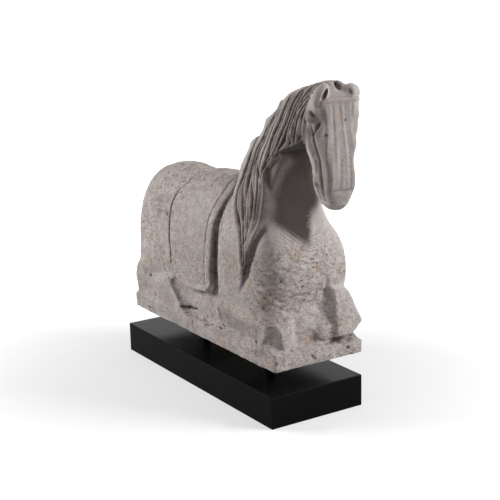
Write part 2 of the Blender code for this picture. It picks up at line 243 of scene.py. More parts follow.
def limb(x, y, z, start, end, radius_start, radius_end):
    """A rounded limb that tapers from start to end."""
    a = np.array(start, dtype=float)
    d = np.array(end, dtype=float) - a
    p = (x - a[0], y - a[1], z - a[2])
    t = np.clip((p[0] * d[0] + p[1] * d[1] + p[2] * d[2]) / (d @ d), 0, 1)
    away = np.sqrt((p[0] - t * d[0])**2 + (p[1] - t * d[1])**2 + (p[2] - t * d[2])**2)
    return away - radius_start - t * (radius_end - radius_start)


def face(x, y, z, point, outward):
    """A chisel cut: the stone behind a flat face through a point."""
    n = np.array(outward, dtype=float)
    n = n / np.linalg.norm(n)
    return (x - point[0]) * n[0] + (y - point[1]) * n[1] + (z - point[2]) * n[2]


def chiselled(x, y, z, *faces):
    """The stone behind every one of several faces."""
    d = face(x, y, z, *faces[0])
    for one in faces[1:]:
        d = keep_both(d, face(x, y, z, *one), 3)
    return d


def silhouette(a, b, points):
    """Distance to a closed outline drawn in a plane, below 0 inside it."""
    nearest = np.full(a.shape, 1e9)
    sign = np.ones(a.shape)
    for p, q in zip(points, points[1:] + points[:1]):
        along = (q[0] - p[0], q[1] - p[1])
        off = (a - p[0], b - p[1])
        t = np.clip((off[0] * along[0] + off[1] * along[1]) / (along[0]**2 + along[1]**2), 0, 1)
        nearest = np.minimum(nearest, (off[0] - t * along[0])**2 + (off[1] - t * along[1])**2)
        above = b >= p[1]
        below = b < q[1]
        left = along[0] * off[1] > along[1] * off[0]
        sign = np.where((above & below & left) | (~above & ~below & ~left), -sign, sign)
    return sign * np.sqrt(nearest)


def lumps(x, y, z, size):
    """Soft unevenness between -1 and 1 whose swells are about size across."""
    a = (x + 0.41 * y - 0.23 * z) / size
    b = (y - 0.37 * z + 0.19 * x) / size
    c = (z + 0.29 * x + 0.31 * y) / size
    return (np.sin(a + 1.7 * np.sin(b * 0.83 + 1.1)) + np.sin(b * 1.13 + 1.5 * np.sin(c * 0.91 + 0.4))
            + np.sin(c * 1.07 + 1.6 * np.sin(a * 0.79 + 2.3))) / 3


def only_near(near, field, *values):
    """A field worked out only where its mass can be, and far away elsewhere."""
    d = np.full(near.shape, FAR_AWAY)
    if near.any():
        d[near] = field(*[v[near] for v in values])
    return d


# The body
def trunk(x, y, z):
    """Back, barrel and rump."""
    axis = 111
    top = curve(x, (-330, 308), (-300, 329), (-250, 347), (-200, 353), (-130, 349), (-60, 348), (0, 351),
                (60, 348), (120, 334), (180, 305), (240, 270), (320, 230))
    wide = curve(x, (-330, 99), (-138, 101), (62, 98), (120, 102), (200, 106), (320, 108))
    front = curve(z, (0, 286), (60, 290), (110, 300), (150, 310), (190, 311), (230, 300), (270, 280),
                  (330, 250))
    rear = curve(z, (-40, 314), (0, 318), (30, 326), (62, 334), (140, 333), (330, 333))
    d = oval(y, z - axis, wide, top - axis, 2.5)
    d = keep_both(d, x - front, 45)
    return keep_both(d, -x - rear, 34)


def chest_strokes(x, y, z):
    """A few slanting chisel strokes where the throat meets the chest."""
    across = 0.228 * (x - 297) + 0.608 * (y + 40) + 0.76 * (z - 250)
    return np.sin(0.78 * across + 0.8 * np.sin(x / 13)) * egg_mark(x, y, z, (297, -40, 250), (30, 46, 32))


def breast(x, y, z):
    """Deep chest between the forelegs, its right front corner cut to a broad soft plane."""
    front = curve(z, (0, 300), (60, 300), (100, 298), (122, 304), (150, 310), (190, 311), (230, 300),
                  (270, 276), (330, 240))
    side = curve(z, (0, 100), (60, 104), (120, 112), (190, 114), (240, 112))
    d = block(x, y - 1, z, (220, 0, 110), (130, 130, 146), 60)
    d = keep_both(d, x - front, 36)
    d = keep_both(d, np.abs(y - 1) - side, 26)
    d = keep_both(d, face(x, y, z, (288, -100, 170), (0.64, -0.77, -0.04)), 34)
    d = join(d, egg(x, y, z, (244, -12, 34), (74, 86, 70)), 12)
    d = join(d, egg(x, y, z, (296, 33, 22), (38, 34, 36)), 10)
    rough = ramp(x, 200, 270) * ramp(z, 0, 20) * (1 - ramp(z, 215, 250)) * ramp(60 - y, 0, 60)
    return d + rough * (2.2 * lumps(x, y, 2.1 * z, 21) + 1.2 * lumps(x, y, 1.8 * z, 8))


def neck_middle(z):
    """How far the neck's middle leans to the left at each height."""
    return curve(z, (300, 0), (480, 4), (600, 12))


def neck(x, y, z):
    """Neck in level slices, narrow at the crest, its throat cut to a plane with an arris at its left."""
    crest = curve(z, (230, -10), (300, 32), (352, 74), (417, 116), (477, 170), (534, 229), (578, 297),
                  (590, 347), (594, 380))
    throat = curve(z, (200, 294), (270, 294), (311, 286), (358, 278), (396, 282), (430, 292), (480, 306),
                   (534, 320), (578, 350), (600, 384))
    wide = curve(z, (200, 108), (286, 102), (311, 94), (358, 73), (396, 60), (426, 53), (477, 46),
                 (534, 39), (578, 32), (600, 20))
    square = curve(z, (200, 3.4), (311, 3.4), (420, 2.8), (600, 2.6))
    middle = 0.5 * (crest + throat)
    half = np.maximum(0.5 * (throat - crest), 4)
    taper = 0.78 + 0.22 * np.clip((x - middle) / half, -1, 1)
    d = oval(x - middle, y - neck_middle(z), half, wide * taper, square) * 0.75
    d = keep_both(d, z - NECK_TOP, 14)
    cut = curve(z, (200, 312), (226, 309), (251, 299), (281, 284), (310, 274), (350, 268), (390, 270),
                (420, 280), (450, 296), (500, 340), (540, 420))
    d = keep_both(d, (x - cut) * 0.93 - 0.17 * (y - 24), 6)
    behind_cheek = limb(x, y, z, (312, -14, 482), (352, -6, 560), 21, 24)
    return join(d, behind_cheek, 10)


def tail(x, y, z):
    """A plain tail laid flat down the rump to the slab, with a few long grooves."""
    wide = curve(z, (0, 16), (60, 22), (150, 26), (250, 19), (305, 10))
    root = curve(z, (0, -328), (62, -338), (220, -341), (300, -322), (330, -296))
    across = y * 26 / wide + 2 * np.sin(z / 40)
    fall = 3.2 * (1 - np.abs(np.sin(across / 5.2 + 0.7))**0.8)
    d = keep_both(np.abs(y) - wide, root - x + fall, 12)
    return keep_both(np.maximum(d, x + 270), z - 318, 10)


# The mane
def mane_edges(z):
    """Where the strands begin behind and end in front at each height, and the smooth lock's front."""
    back = curve(z, (118, 202), (141, 207), (165, 216), (183, 222), (201, 218), (221, 208), (242, 196),
                 (261, 180), (277, 159), (296, 137), (315, 120), (332, 108), (366, 90), (388, 40))
    ends = curve(z, (118, 203), (141, 211), (165, 223), (183, 232), (203, 236), (247, 237), (281, 245),
                 (313, 242), (334, 235), (354, 227), (376, 229), (400, 234), (427, 253), (445, 281),
                 (455, 308), (466, 326), (480, 338), (507, 350), (529, 357), (550, 367), (576, 394),
                 (600, 404))
    lock = curve(z, (118, 203), (141, 215), (162, 227), (177, 233), (196, 240), (225, 248), (249, 255),
                 (271, 259), (313, 261), (340, 254), (365, 244), (385, 236), (402, 231))
    return back, ends, lock


def strands(x, z):
    """0 on the back of a strand, 1 in a deep groove, less in the finer lines along each strand."""
    wander = x + np.sin(z / 24 + x / 19)
    deep = np.zeros(x.shape)
    fine = np.zeros(x.shape)
    lines = [curve(z, *knots) for start, *knots in MANE_GROOVES]
    for i, line in enumerate(lines):
        start = MANE_GROOVES[i][0]
        alive = ramp(z, start - 8, start + 10)
        behind = line - lines[i - 1] if i > 0 else 18
        ahead = lines[i + 1] - line if i + 1 < len(lines) else 20
        half = np.clip(0.5 * np.minimum(behind, ahead), 3.5, 7.5)
        deep = np.maximum(deep, alive * (1 - ramp(np.abs(wander - line) / half, 0, 1)))
        if i > 0:
            middle = 0.5 * (line + lines[i - 1]) + 1.2 * np.sin(z / 17 + i)
            thin = 1 - ramp(np.abs(wander - middle), 0, 4.2)
            fine = np.maximum(fine, alive * ramp(behind, 9, 16) * thin)
    return deep, fine


def mane_shade(x, y, z):
    """How dark the mane's grooves are painted: brown deposits with painted shade."""
    back, ends, lock = mane_edges(z)
    deep, fine = strands(x, z)
    inside = ramp(x - back, -4, 4) * (1 - ramp(x - np.maximum(ends, lock), -2, 4)) * ramp(z, 150, 190)
    return np.maximum(ramp(deep, 0.15, 0.95), 0.65 * fine) * inside * ramp(neck_middle(z) + 26 - y, 0, 10)


def mane_shadow(x, y, z):
    """How deep the shoulder is cut back along the front of the smooth lock."""
    lock = mane_edges(z)[2]
    past = x - lock
    return 6 * ramp(past, -6, 1) * (1 - ramp(past, 1, 22)) * between(z, 128, 300, 26) * ramp(-y, 30, 60)


def mane(x, y, z, under):
    """Strands falling down the right side of the neck, gathered to a point on the shoulder."""
    back, ends, lock = mane_edges(z)
    front = np.maximum(ends, lock)
    deep, fine = strands(x, z)
    tufts = curve(z, (408, 0), (426, 8), (440, 13), (455, 6), (472, 0), (488, 8), (501, 13), (512, 6),
                  (526, 0), (535, 8), (544, 12), (556, 5), (568, 2), (580, 5))
    tufts = tufts * (1 - ramp(np.abs(y - neck_middle(z) - 4), 12, 30)) * ramp(z, 400, 412)
    thick = (13 - 4 * ramp(z, 500, 600)) * ramp(z, MANE_POINT, 190) + tufts
    thick = thick + 1.5 * lumps(x, y, z, 18) * ramp(z, 300, 420)
    thick = thick + 4 * between(z, 390, 570, 30) * (1 - ramp(x - back, 60, 110))
    right_of_crest = ramp(neck_middle(z) + 32 - y, 0, 14)
    d = under - thick * right_of_crest + (10 * deep + 5 * fine) * ramp(z, 150, 200)

    # The lock in front of the strands is thinner and smooth but for a few long flutes
    ahead = ramp(x - ends, -4, 8) * (1 - ramp(z, 380, 410))
    d = d + ahead * (3 + 1.4 * np.sin((x - lock) / 2.6 + z / 60))
    ragged = (2 * np.sin(x / 4.1) + np.sin(x / 2.3 + 1)) * between(z, 400, 455, 20)
    side = most(back - x, x - front + ragged, MANE_POINT - z)
    return keep_both(keep_both(d, z - MANE_TOP, 6), side * 0.8, 6)


# The blanket
def blanket_front(z):
    """Front edge of the saddle blanket, drifting forward near the withers."""
    return 62 + 32 * ramp(z, 240, 340)


def blanket_rear(z):
    """Rear border of the saddle blanket, swept forward over the back."""
    return curve(z, (60, -146), (141, -139), (197, -146), (278, -144), (300, -134), (320, -113), (345, -95),
                 (358, -72))


def blanket_hem(x):
    """Height of the saddle blanket's lower edge along its length."""
    return curve(x, (-150, 104), (-122, 95), (-108, 83), (-88, 73), (-62, 66), (-35, 64), (10, 70),
                 (52, 83), (70, 104))


def incised(x, y, z):
    """1 along the thin lines cut beside the blanket's borders, below its corner and on the shoulder."""
    side = ramp(np.abs(y), 20, 60)
    front = 1 - ramp(np.abs(x - blanket_front(z) + 32), 0, 5.5)
    rear = 1 - ramp(np.abs(x - blanket_rear(z) - 3), 0, 5.5)
    borders = np.maximum(front, rear) * ramp(z - blanket_hem(x), 12, 18)
    corner = groove(z - 13 - 0.004 * (x + 60)**2, 4.5) * between(x, -86, -34, 8) * side
    shoulder = 0.7 * groove(x - 90 - 0.12 * (240 - z), 3.5) * between(z, 222, 262, 8) * side
    return most(borders, corner, shoulder)


def blanket(x, z, under):
    """Saddle blanket with a rolled border in front, an incised line behind it and one at its rear."""
    past_front = x - blanket_front(z)
    past_rear = x - blanket_rear(z)
    hem = blanket_hem(x)
    d = under - 8 - 4 * ramp(past_front, -36, -28) - 2 * groove(past_front + 16, 14)
    d = d + 4 * between(past_rear, -14, -2, 8) * ramp(z, 270, 320)
    d = d - 4 * groove(hem + 8 - z, 9) + 2 * groove(hem + 21 - z, 7) + 6 * (1 - ramp(z - hem, 0, 9))
    d = keep_both(d, np.maximum(past_front, -past_rear - 6), 5)
    return keep_both(d, hem - z, 7)


# The head
def head_lengths(x, y, z):
    """Lengths along the head's own axes: forward, left and up, from the middle of the brow."""
    dx, dy, dz = [v - c for v, c in zip((x, y, z), BROW)]
    level = dx * cos(HEAD_TURN) + dy * sin(HEAD_TURN)
    left = -dx * sin(HEAD_TURN) + dy * cos(HEAD_TURN)
    forward = level * cos(HEAD_NOD) + dz * sin(HEAD_NOD)
    up = -level * sin(HEAD_NOD) + dz * cos(HEAD_NOD)
    return forward, left, up


def on_head(x, z):
    """Whether a point is in the head's part of the stone."""
    return (x > 300) & (z > 320)


def face_line(w):
    """How far back the deep groove beside the face lies at each height of the head."""
    return curve(w, (-200, -24), (-193, -28), (-174, -32), (-145, -36), (-108, -33), (-75, -36), (-47, -46))


def cheek_hollow(s, a, w):
    """The long hollow of the cheek, sharp at its rear rim."""
    return egg(s - 0.12 * (w + 84), a - 0.2 * (w + 84), w, (-62, 55, -88), (20, 26, 48))


def eye_lines(s, v, w):
    """1 along the two creases that run together under the right eye."""
    rear = (1 - ramp(np.abs(s + 50 + 0.5 * (w + 55)), 0, 5)) * between(w, -70, -52, 6)
    front = (1 - ramp(np.abs(s + 20 - 0.5 * (w + 48)), 0, 5)) * between(w, -68, -48, 6)
    return np.maximum(rear, front) * ramp(-v, 26, 36)


def eye(s, v, w, d):
    """The eye, a ridged knob under the brow's corner, with creases below it."""
    lid = egg(s, np.abs(v), w, (-38, 45, -32), (18, 14, 14))
    lid = lid - 2.2 * np.sin(0.55 * (0.9 * s + w)) * ramp(7 - np.abs(lid), 0, 4)
    return join(d, lid, 2) + 4 * eye_lines(s, v, w)


def nostril_hollows(s, a, w):
    """The two hollows that leave the nostril standing between them."""
    return np.minimum(egg(s, a, w, (-54, 40, -186), (9, 12, 14)), egg(s, a, w, (-72, 38, -178), (6, 9, 18)))


def nose_lines(s, a, w):
    """1 along the wrinkles beside the lips and the line of the mouth."""
    wrinkles = groove(s + 40 + 0.5 * (w + 190), 5) + groove(s + 62 + 0.4 * (w + 196), 5)
    wrinkles = np.minimum(wrinkles, 1) * between(w, -208, -180, 6) * ramp(a, 12, 20)
    mouth = groove(w + 211 + 0.12 * (s + 40), 4) * between(s, -80, -10, 6) * ramp(a, 5, 12)
    return np.maximum(wrinkles, 0.35 * mouth)


def nose(s, v, w, d):
    """The nostrils, the lips and the chiselled front of the muzzle."""
    a = np.abs(v)
    d = join(d, egg(s, a, w, (-62, 26, -170), (24, 12, 20)), 4)
    d = keep_both(d, -nostril_hollows(s, a, w), 2)
    d = d + 4 * nose_lines(s, a, w)
    return d + 2.5 * groove(w + 190, 5) * ramp(s, -18, -6) * (1 - ramp(a, 24, 30))


def beside_face(s, a, w, d):
    """The deep groove beside the face and the lesser one behind it, with a ridge behind each."""
    for depth, behind, width, low, high, soft in (
            (9, 0, 4.5, -194, -58, 10), (-4, 9, 6, -186, -60, 14),
            (5, 19, 4, -176, -112, 10), (-4, 27, 6, -176, -118, 12)):
        line = groove(s - face_line(w) + behind, width) * between(w, low, high, soft)
        d = d + depth * line * ramp(a, 18, 26)
    return d


def face_flutes(s, v, w, d):
    """The ledge of the brow and the long flutes of the flat face, which is a little fuller lower down."""
    d = d + 1.8 * groove(w - 7, 5) * ramp(s, -38, -20) - 2.5 * groove(w, 6) * ramp(s, -20, -8)
    flutes = np.sin(v / 2 + 2.1 * np.sin(w / 53 + v / 19)) * np.sin(v / 7 + w / 80 + 0.6)
    d = d + flutes * ramp(s, -11, -5) * between(w, -186, -10, 5)
    return d - 0.8 * ramp(s, -12, -6) * between(w, -187, -110, 8) * (1 - ramp(np.abs(v), 24, 27))


def head(x, y, z):
    """Long flat-faced head: its side outline, as wide as the face is at each height."""
    s, v, w = head_lengths(x, y, z)
    a = np.abs(v)
    outline = [(0, 0), (-8, 12), (-18, 25), (-32, 35), (-48, 40), (-66, 40), (-82, 34), (-94, 22),
               (-106, -55), (-104, -112), (-94, -150), (-91, -190), (-85, -210), (-72, -226), (-50, -234),
               (-30, -233), (-14, -222), (-5, -202), (0, -184), (4, -160), (-2, -60)]
    wide = curve(w, (-235, 18), (-220, 25), (-204, 29), (-188, 31), (-165, 31), (-125, 34), (-98, 42),
                 (-40, 46), (0, 46), (24, 38), (40, 26))
    wider_left = curve(w, (-225, 0), (-200, 1), (-180, 3), (-165, 2), (-84, 1), (-66, 8), (20, 7))
    wide = wide + ramp(v, 0, 10) * wider_left
    rounding = 10 + 13 * ramp(w, 2, 26) + 8 * (1 - ramp(w, -204, -172))
    d = keep_both(silhouette(s, w, outline), a - wide, rounding)

    # The brow's corners are cut back, and the cheek is hollowed between its rim and a long ridge
    corner = curve(w, (-200, 34), (-150, 35), (-122, 34), (-100, 31), (-70, 27), (-44, 27), (-10, 34),
                   (10, 42))
    corner = corner + 6 * ramp(v, 0, 10)
    d = keep_both(d, s * 0.62 + (a - corner) * 0.78, 5)
    d = keep_both(d, -cheek_hollow(s, a, w), 2.5)
    d = keep_both(d, -egg(s, a, w, (-10, 49, -58), (12, 17, 24)), 8)

    d = face_flutes(s, v, w, beside_face(s, a, w, d))
    return nose(s, v, w, eye(s, v, w, d))


def near_head(x, y, z):
    """Distance to the head, far away wherever it can't be."""
    return only_near((x > 290) & (z > 300), head, x, y, z)


def right_ear_lengths(v, w):
    """Lengths across and along the right ear, which leans inwards."""
    across = v + 33
    along = w - 12
    return (across * cos(EAR_LEAN) - along * sin(EAR_LEAN), across * sin(EAR_LEAN) + along * cos(EAR_LEAN))


def ear_hollows(s, v, w):
    """The slit of the right ear and the hollow inner side of the left one."""
    inward, up = right_ear_lengths(v, w)
    slit = egg(inward, s + 13, up, (4, 12, -3), (3.6, 15, 20))
    return np.minimum(slit, egg(v, s, w, (29, -4, 13), (6, 8, 12)))


def ears(x, y, z):
    """The right ear a leaf leaning in, the left one rounder, each hollowed, and the notch between them."""
    s, v, w = head_lengths(x, y, z)
    inward, up = right_ear_lengths(v, w)
    right = egg(inward, s + 13, up, (0, 0, 0), (16, 16, 28))
    left = egg(v, s, w, (37, -19, 14), (20, 14, 19))
    both = keep_both(np.minimum(right, left), -ear_hollows(s, v, w), 1.5)
    both = both + 2 * groove(v - 47, 4) * ramp(s, -24, -10)
    notch = egg(v, s, w, (11, -18, 34), (7, 26, 14))
    return both, notch


# The legs and the slab
def pocket(x, y, z):
    """The scooped hollow between thigh, belly and slab."""
    return egg(x, np.abs(y), z, (-36, 126, 60), (88, 37, 54))


def crescent(x, y, z):
    """The deep crescent between the thigh and the blanket's lower corner."""
    return limb(x, np.abs(y), z, (-114, 113, 76), (-60, 110, 16), 18, 13)


def hind_legs(x, y, z):
    """Haunches, with the lower legs folded forward along the slab."""
    a = np.abs(y)
    top = curve(x, (-330, 46), (-276, 54), (-133, 82), (-70, 84))
    shank = block(x, a, z, (-190, 88, 20), (132, 26, 64), 20)
    shank = keep_both(shank, z - top, 12)
    shank = keep_both(shank, face(x, a, z, (-66, 0, 10), (1, 0, 0.75)), 8)
    shank = keep_both(shank, -crescent(x, y, z), 2)
    haunch = egg(x, a, z, (-236, 30, 108), (118, 80, 128))
    heel = egg(x, a, z, (-284, 78, 58), (56, 40, 44))
    return join(join(shank, haunch, 6), heel, 14)


def forelegs(x, y, z):
    """Forelegs folded under, with chiselled knees at the slab's front."""
    a = np.abs(y - 4)
    shin = block(x, a, z, (196, 97, 30), (112, 22, 52), 20)
    shin = keep_both(shin, face(x, a, z, (135, 119, 68), (0.12, 0.45, 1)), 4)
    shin = keep_both(shin, face(x, a, z, (200, 119, 62), (0, 1, -0.22)), 2)
    arm = limb(x, a, z, (120, 66, 92), (290, 80, 60), 46, 34)
    right_knee = chiselled(
        x, y, z, ((330, -75, 40), (1, 0.10, 0.08)), ((300, -116, 40), (-0.03, -1, 0.10)),
        ((324, -56, 40), (0.90, 0.75, 0.15)), ((326, -88, 66), (0.85, -0.10, 0.75)),
        ((320, -90, 5), (0.16, 0, -1)), ((318, -102, 40), (0.62, -0.78, -0.12)),
        ((306, -100, 76), (0.50, -0.50, 0.80)), ((246, 0, 0), (-1, 0, 0)))
    left_knee = chiselled(
        x, y, z, ((340, 90, 40), (1, 0.04, 0.18)), ((336, 130, 44), (0.03, 1, 0.40)),
        ((335, 58, 60), (0.68, -0.71, 0.16)), ((318, 90, 120), (0.62, 0.22, 1)),
        ((330, 80, 12), (0.10, 0.05, -1)), ((340, 118, 28), (0.4, 0.6, -0.7)), ((230, 0, 0), (-1, 0, 0)))
    return join(join(join(shin, arm, 3), right_knee, 5), left_knee, 4)


def slab(x, y, z):
    """The slab under the horse, its top a little uneven and risen under the knees and the right foreleg."""
    half = (0.5 * SLAB_LENGTH / UNIT, 0.5 * SLAB_WIDTH / UNIT)
    middle = (SLAB_FORWARD / UNIT, SLAB_LEFT / UNIT)
    to_front = middle[0] + half[0] - x
    near_front = 1 - ramp(to_front, 0, 90)
    sunken = -10 * near_front * ramp(y, 0, 124) + 3 * near_front * ramp(-y, 0, 115)
    foreleg = 120 * ramp(-y, 20, 90)
    risen = 14 * ramp(to_front, 0, 34 + 30 * ramp(y, 40, 130)) * (1 - ramp(to_front - foreleg, 60, 160))
    chipped = 1.3 * lumps(x, y, z, 7) + 1.2 * lumps(x, y, z, 19)
    d = block(x, y, z, (*middle, -SLAB_DEPTH), (*half, SLAB_DEPTH + 18), 4) + chipped
    return keep_both(d, z - sunken - risen, 3)


def creases(x, y, z):
    """Lines cut where the legs fold and where the chest rests on them."""
    side = ramp(np.abs(y), 84, 94)
    forearm = curve(x, (100, 70), (121, 70), (156, 67), (185, 63), (218, 59), (251, 56), (290, 53))
    thigh = curve(x, (-276, 55), (-261, 57), (-212, 70), (-133, 82))
    chest = curve(y, (-110, 104), (-60, 116), (-10, 121), (40, 122), (90, 110))
    above = z - forearm
    d = 5 * ramp(above, 2, 16) * (1 - ramp(above, 18, 60)) * between(x, 116, 266, 20) * side
    d = d + 5 * groove(x - 104 + 0.15 * (z - 38), 6) * between(z, 26, 50, 8) * side
    d = d + 2 * ramp(z - thigh, -4, 5) * (1 - ramp(z - thigh, 6, 34)) * between(x, -250, -150, 16) * side
    d = d + 3 * groove(z - chest - 3 * np.sin(y / 9), 5) * ramp(x, 216, 250) * between(y, -70, 40, 20)
    return d + 5 * groove(y - 44 - 0.12 * (z - 120), 9) * between(z, 108, 142, 14) * ramp(x, 260, 280)


# Age, and the whole stone
def pit_distance(x, y, z):
    """Distance to the nearest of the holes and cracks that age has opened in the stone."""
    d = np.full(x.shape, FAR_AWAY)
    for start, end, radius in PITS:
        near = most(*[np.abs(v - place) for v, place in zip((x, y, z), start)]) < PIT_REACH
        if near.any():
            d[near] = np.minimum(d[near], limb(x[near], y[near], z[near], start, end, radius, 0.7 * radius))
    return d


def finely_carved(x, z):
    """1 on the neck and the head, which are carved more finely and weathered less, 0 on the body."""
    return ramp(z, 190, 290) * ramp(x, 90, 200)


def wear(x, y, z):
    """Weathered relief: wide swells, level beds and small hollows, gentler on the neck and head."""
    beds = lumps(x, y, 2.2 * z, 4.8)
    small = lumps(x + 40, y, 1.5 * z, 2.3)
    hollows = ramp(small + 0.7 * beds, 0.92, 1.25)
    chest = ramp(x, 230, 290) * between(z, 20, 215, 20) * ramp(70 - y, 0, 50)
    wide = 0.9 * lumps(x, y, z, 33) + 0.5 * lumps(x, y, z, 13) + 1.3 * chest * lumps(x, y, 2.6 * z, 9)
    narrow = (0.6 + 0.7 * chest) * beds + 0.3 * small + 1.5 * hollows
    return wide + (1 - 0.85 * finely_carved(x, z)) * narrow


def horse(x, y, z):
    """The whole stone: trunk, breast, neck, mane, blanket, head and legs on their slab."""
    bare = join(trunk(x, y, z), breast(x, y, z), 30)
    past_front = x - blanket_front(z)
    shoulder_hollow = 10 * (1 - ramp(past_front, 0, 36)) * ramp(past_front, -30, -10)
    d = bare + shoulder_hollow * ramp(z, 40, 90) * (1 - ramp(z, 250, 340))
    d = d + 9 * egg_mark(x, y, z, (-205, -100, 262), (30, 60, 18))
    d = d + 8 * egg_mark(x, y, z, (-204, -96, 228), (20, 60, 16))
    d = keep_both(d, -pocket(x, y, z), 6)
    d = keep_both(d, -crescent(x, y, z), 6)
    d = d + mane_shadow(x, y, z)
    d = join(d, neck(x, y, z), 34 - 22 * ramp(z, 300, 350))
    d = d + 1.8 * chest_strokes(x, y, z)
    d = join(d, blanket(x, z, bare), 1.5) + 7 * incised(x, y, z)
    d = join(d, only_near((x > 60) & (z > 100) & (y < 90), mane, x, y, z, d), 1.5)
    d = join(d, near_head(x, y, z), 5)
    both_ears, notch = ears(x, y, z)
    d = join(keep_both(d, -notch, 4), both_ears, 2)
    d = join(d, tail(x, y, z), 3)
    d = join(d, hind_legs(x, y, z), 7)
    d = join(d, forelegs(x, y, z), 7)
    d = d + creases(x, y, z)
    d = keep_both(d, -z - 0.5 * SLAB_DEPTH, 1)
    belly = between(x, -50, 90, 30) * ramp(np.abs(y), 70, 90)
    d = join(d, slab(x, y, z), 4 + 18 * belly + 5 * ramp(x, 230, 260))
    return keep_both(d + wear(x, y, z), -pit_distance(x, y, z), 1)


# From field to mesh
def soften(values):
    """Even out the samples with their neighbours, so that sharp edges don't mesh into steps."""
    for axis in range(3):
        ahead = np.roll(values, 1, axis)
        behind = np.roll(values, -1, axis)
        values = 0.5 * values + 0.25 * (ahead + behind)
    return values


def try_cells(field, low, cells, width):
    """The field's least and greatest value at the corners of each coarse cell."""
    axes = [low[i] + width * np.arange(cells[i] + 1) for i in range(3)]
    grid = np.meshgrid(*axes, indexing="ij")
    rough = field(*[g.ravel() for g in grid]).reshape(grid[0].shape)
    corners = [rough[i:cells[0] + i, j:cells[1] + j, k:cells[2] + k]
               for i in (0, 1) for j in (0, 1) for k in (0, 1)]
    return np.minimum.reduce(corners), np.maximum.reduce(corners)


def work_stone(field, low, high, spacing):
    """Sample the field near its surface and return the surface's points and faces."""
    low = np.array(low, dtype=float)
    cells = np.ceil((np.array(high) - low) / (spacing * COARSE)).astype(int)
    least, greatest = try_cells(field, low, cells, spacing * COARSE)
    limit = spacing * 4
    values = np.full(cells * COARSE + 1, limit, dtype=np.float32)
    solid = np.where(least + greatest > 0, limit, -limit)
    for axis in range(3):
        solid = np.repeat(solid, COARSE, axis)
    values[:-1, :-1, :-1] = solid

    # Only the cells that the surface may pass through are sampled finely, a batch at a time
    reach = spacing * COARSE * 1.8
    near = np.argwhere((least < reach) & (greatest > -reach))
    steps = np.arange(COARSE + 1)
    inner = np.stack(np.meshgrid(steps, steps, steps, indexing="ij"), -1).reshape(-1, 3)
    batch = 1000

    def fill(first):
        at = (near[first:first + batch, None, :] * COARSE + inner).reshape(-1, 3)
        values[at[:, 0], at[:, 1], at[:, 2]] = np.clip(field(*(low + at * spacing).T), -limit, limit)

    with ThreadPoolExecutor(4) as hands:
        list(hands.map(fill, range(0, len(near), batch)))
    volume = openvdb.FloatGrid(limit)
    volume.copyFromArray(soften(values))
    points, triangles, quads = volume.convertToPolygons(isovalue=0.0, adaptivity=0.0)
    return points * spacing + low, quads, triangles


def plain_mesh(ob):
    """The object's evaluated mesh in place of its modifiers."""
    depsgraph = bpy.context.evaluated_depsgraph_get()
    mesh = bpy.data.meshes.new_from_object(ob.evaluated_get(depsgraph))
    ob.modifiers.clear()
    old = ob.data
    ob.data = mesh
    mesh.name = ob.name
    bpy.data.meshes.remove(old)


# Marks on the surface for the stone's finish
def read_points(mesh, kind):
    """The mesh's points or normals as an array with a row for each."""
    source = mesh.vertices if kind == "co" else mesh.vertex_normals
    values = np.zeros(len(mesh.vertices) * 3, np.float32)
    source.foreach_get(kind, values)
    return values.reshape(-1, 3).astype(float)


def store(mesh, name, values):
    """Keep one number for each point of the mesh, for the finish to read."""
    marks = mesh.attributes.new(name, "FLOAT", "POINT")
    marks.data.foreach_set("value", values.astype(np.float32))


def stone_around(field, points, normals):
    """How much stone stands close in front of each point and further off, and how little behind it."""
    def at(length):
        return field(*(points + normals * length).T)

    close, wide, behind = 3.5, 14.0, 4.0
    rate = np.clip((at(1.0) - at(-1.0)) / 2, 0.35, 1.2)
    near = np.clip(1 - at(close) / (close * rate), 0, 1)
    far = np.clip(1 - at(wide) / (wide * rate), 0, 1)
    sharp = np.clip(1 + at(-behind) / (behind * rate), 0, 1)
    return near, far, sharp


def carved_lines(x, y, z):
    """1 along the lines cut into the blanket and the head and in the mane's deep grooves."""
    s, v, w = head_lengths(x, y, z)
    a = np.abs(v)
    face_groove = groove(s - face_line(w), 5) * between(w, -196, -56, 10) * ramp(a, 18, 26)
    about_face = most(face_groove, eye_lines(s, v, w), nose_lines(s, a, w)) * on_head(x, z)
    return most(incised(x, y, z), about_face, mane_shade(x, y, z))


def strand_highlights(x, y, z):
    """How strongly a highlight is painted on the backs of the mane's strands."""
    back, ends = mane_edges(z)[:2]
    behind_head = head_lengths(x, y, z)[0] < -60
    on_mane = between(x, back + 6, ends - 12, 5) * between(z, 150, 580, 20) * (y < 20) * behind_head
    return (0.3 + 0.2 * ramp(z, 380, 420)) * on_mane * (1 - ramp(mane_shade(x, y, z), 0, 0.4))


def cheek_rim_highlight(x, y, z):
    """How strongly a highlight is painted on the right cheek's rear rim."""
    s, v, w = head_lengths(x, y, z)
    rim = between(s - 0.12 * (w + 84), -92, -77, 5) * between(w, -134, -40, 10)
    return 0.8 * rim * ramp(-v, 16, 24) * on_head(x, z)


def throat_shade(x, y, z):
    """The throat and the neck's side darkened where the head shelters them: painted shade, and partly the
    stone's own dark brown.
    """
    low = curve(y, (-110, 268), (-56, 262), (-40, 249), (-20, 232), (7, 226), (18, 250), (32, 280),
                (49, 290), (78, 306))
    inside = ramp(z - low + 5 * chest_strokes(x, y, z), -6, 30) * (1 - ramp(z, 530, 556))
    left = 36 + 34 * ramp(z, 260, 330)
    front = curve(z, (240, 242), (290, 236), (340, 230), (376, 226), (400, 234), (427, 254), (445, 278),
                  (455, 304), (466, 320), (507, 345), (550, 362))
    inside = inside * ramp(left - y, -6, 24) * ramp(x - front, -6, 10)
    edge = curve(z, (261, -69), (280, -59), (311, -50), (345, -43), (372, -29), (394, -19), (421, -6),
                 (440, -30), (460, -60))
    shade = 0.64 + 0.36 * ramp(y - edge, -22, 8)
    return inside * shade * ramp(near_head(x, y, z), 0.8, 3.5)


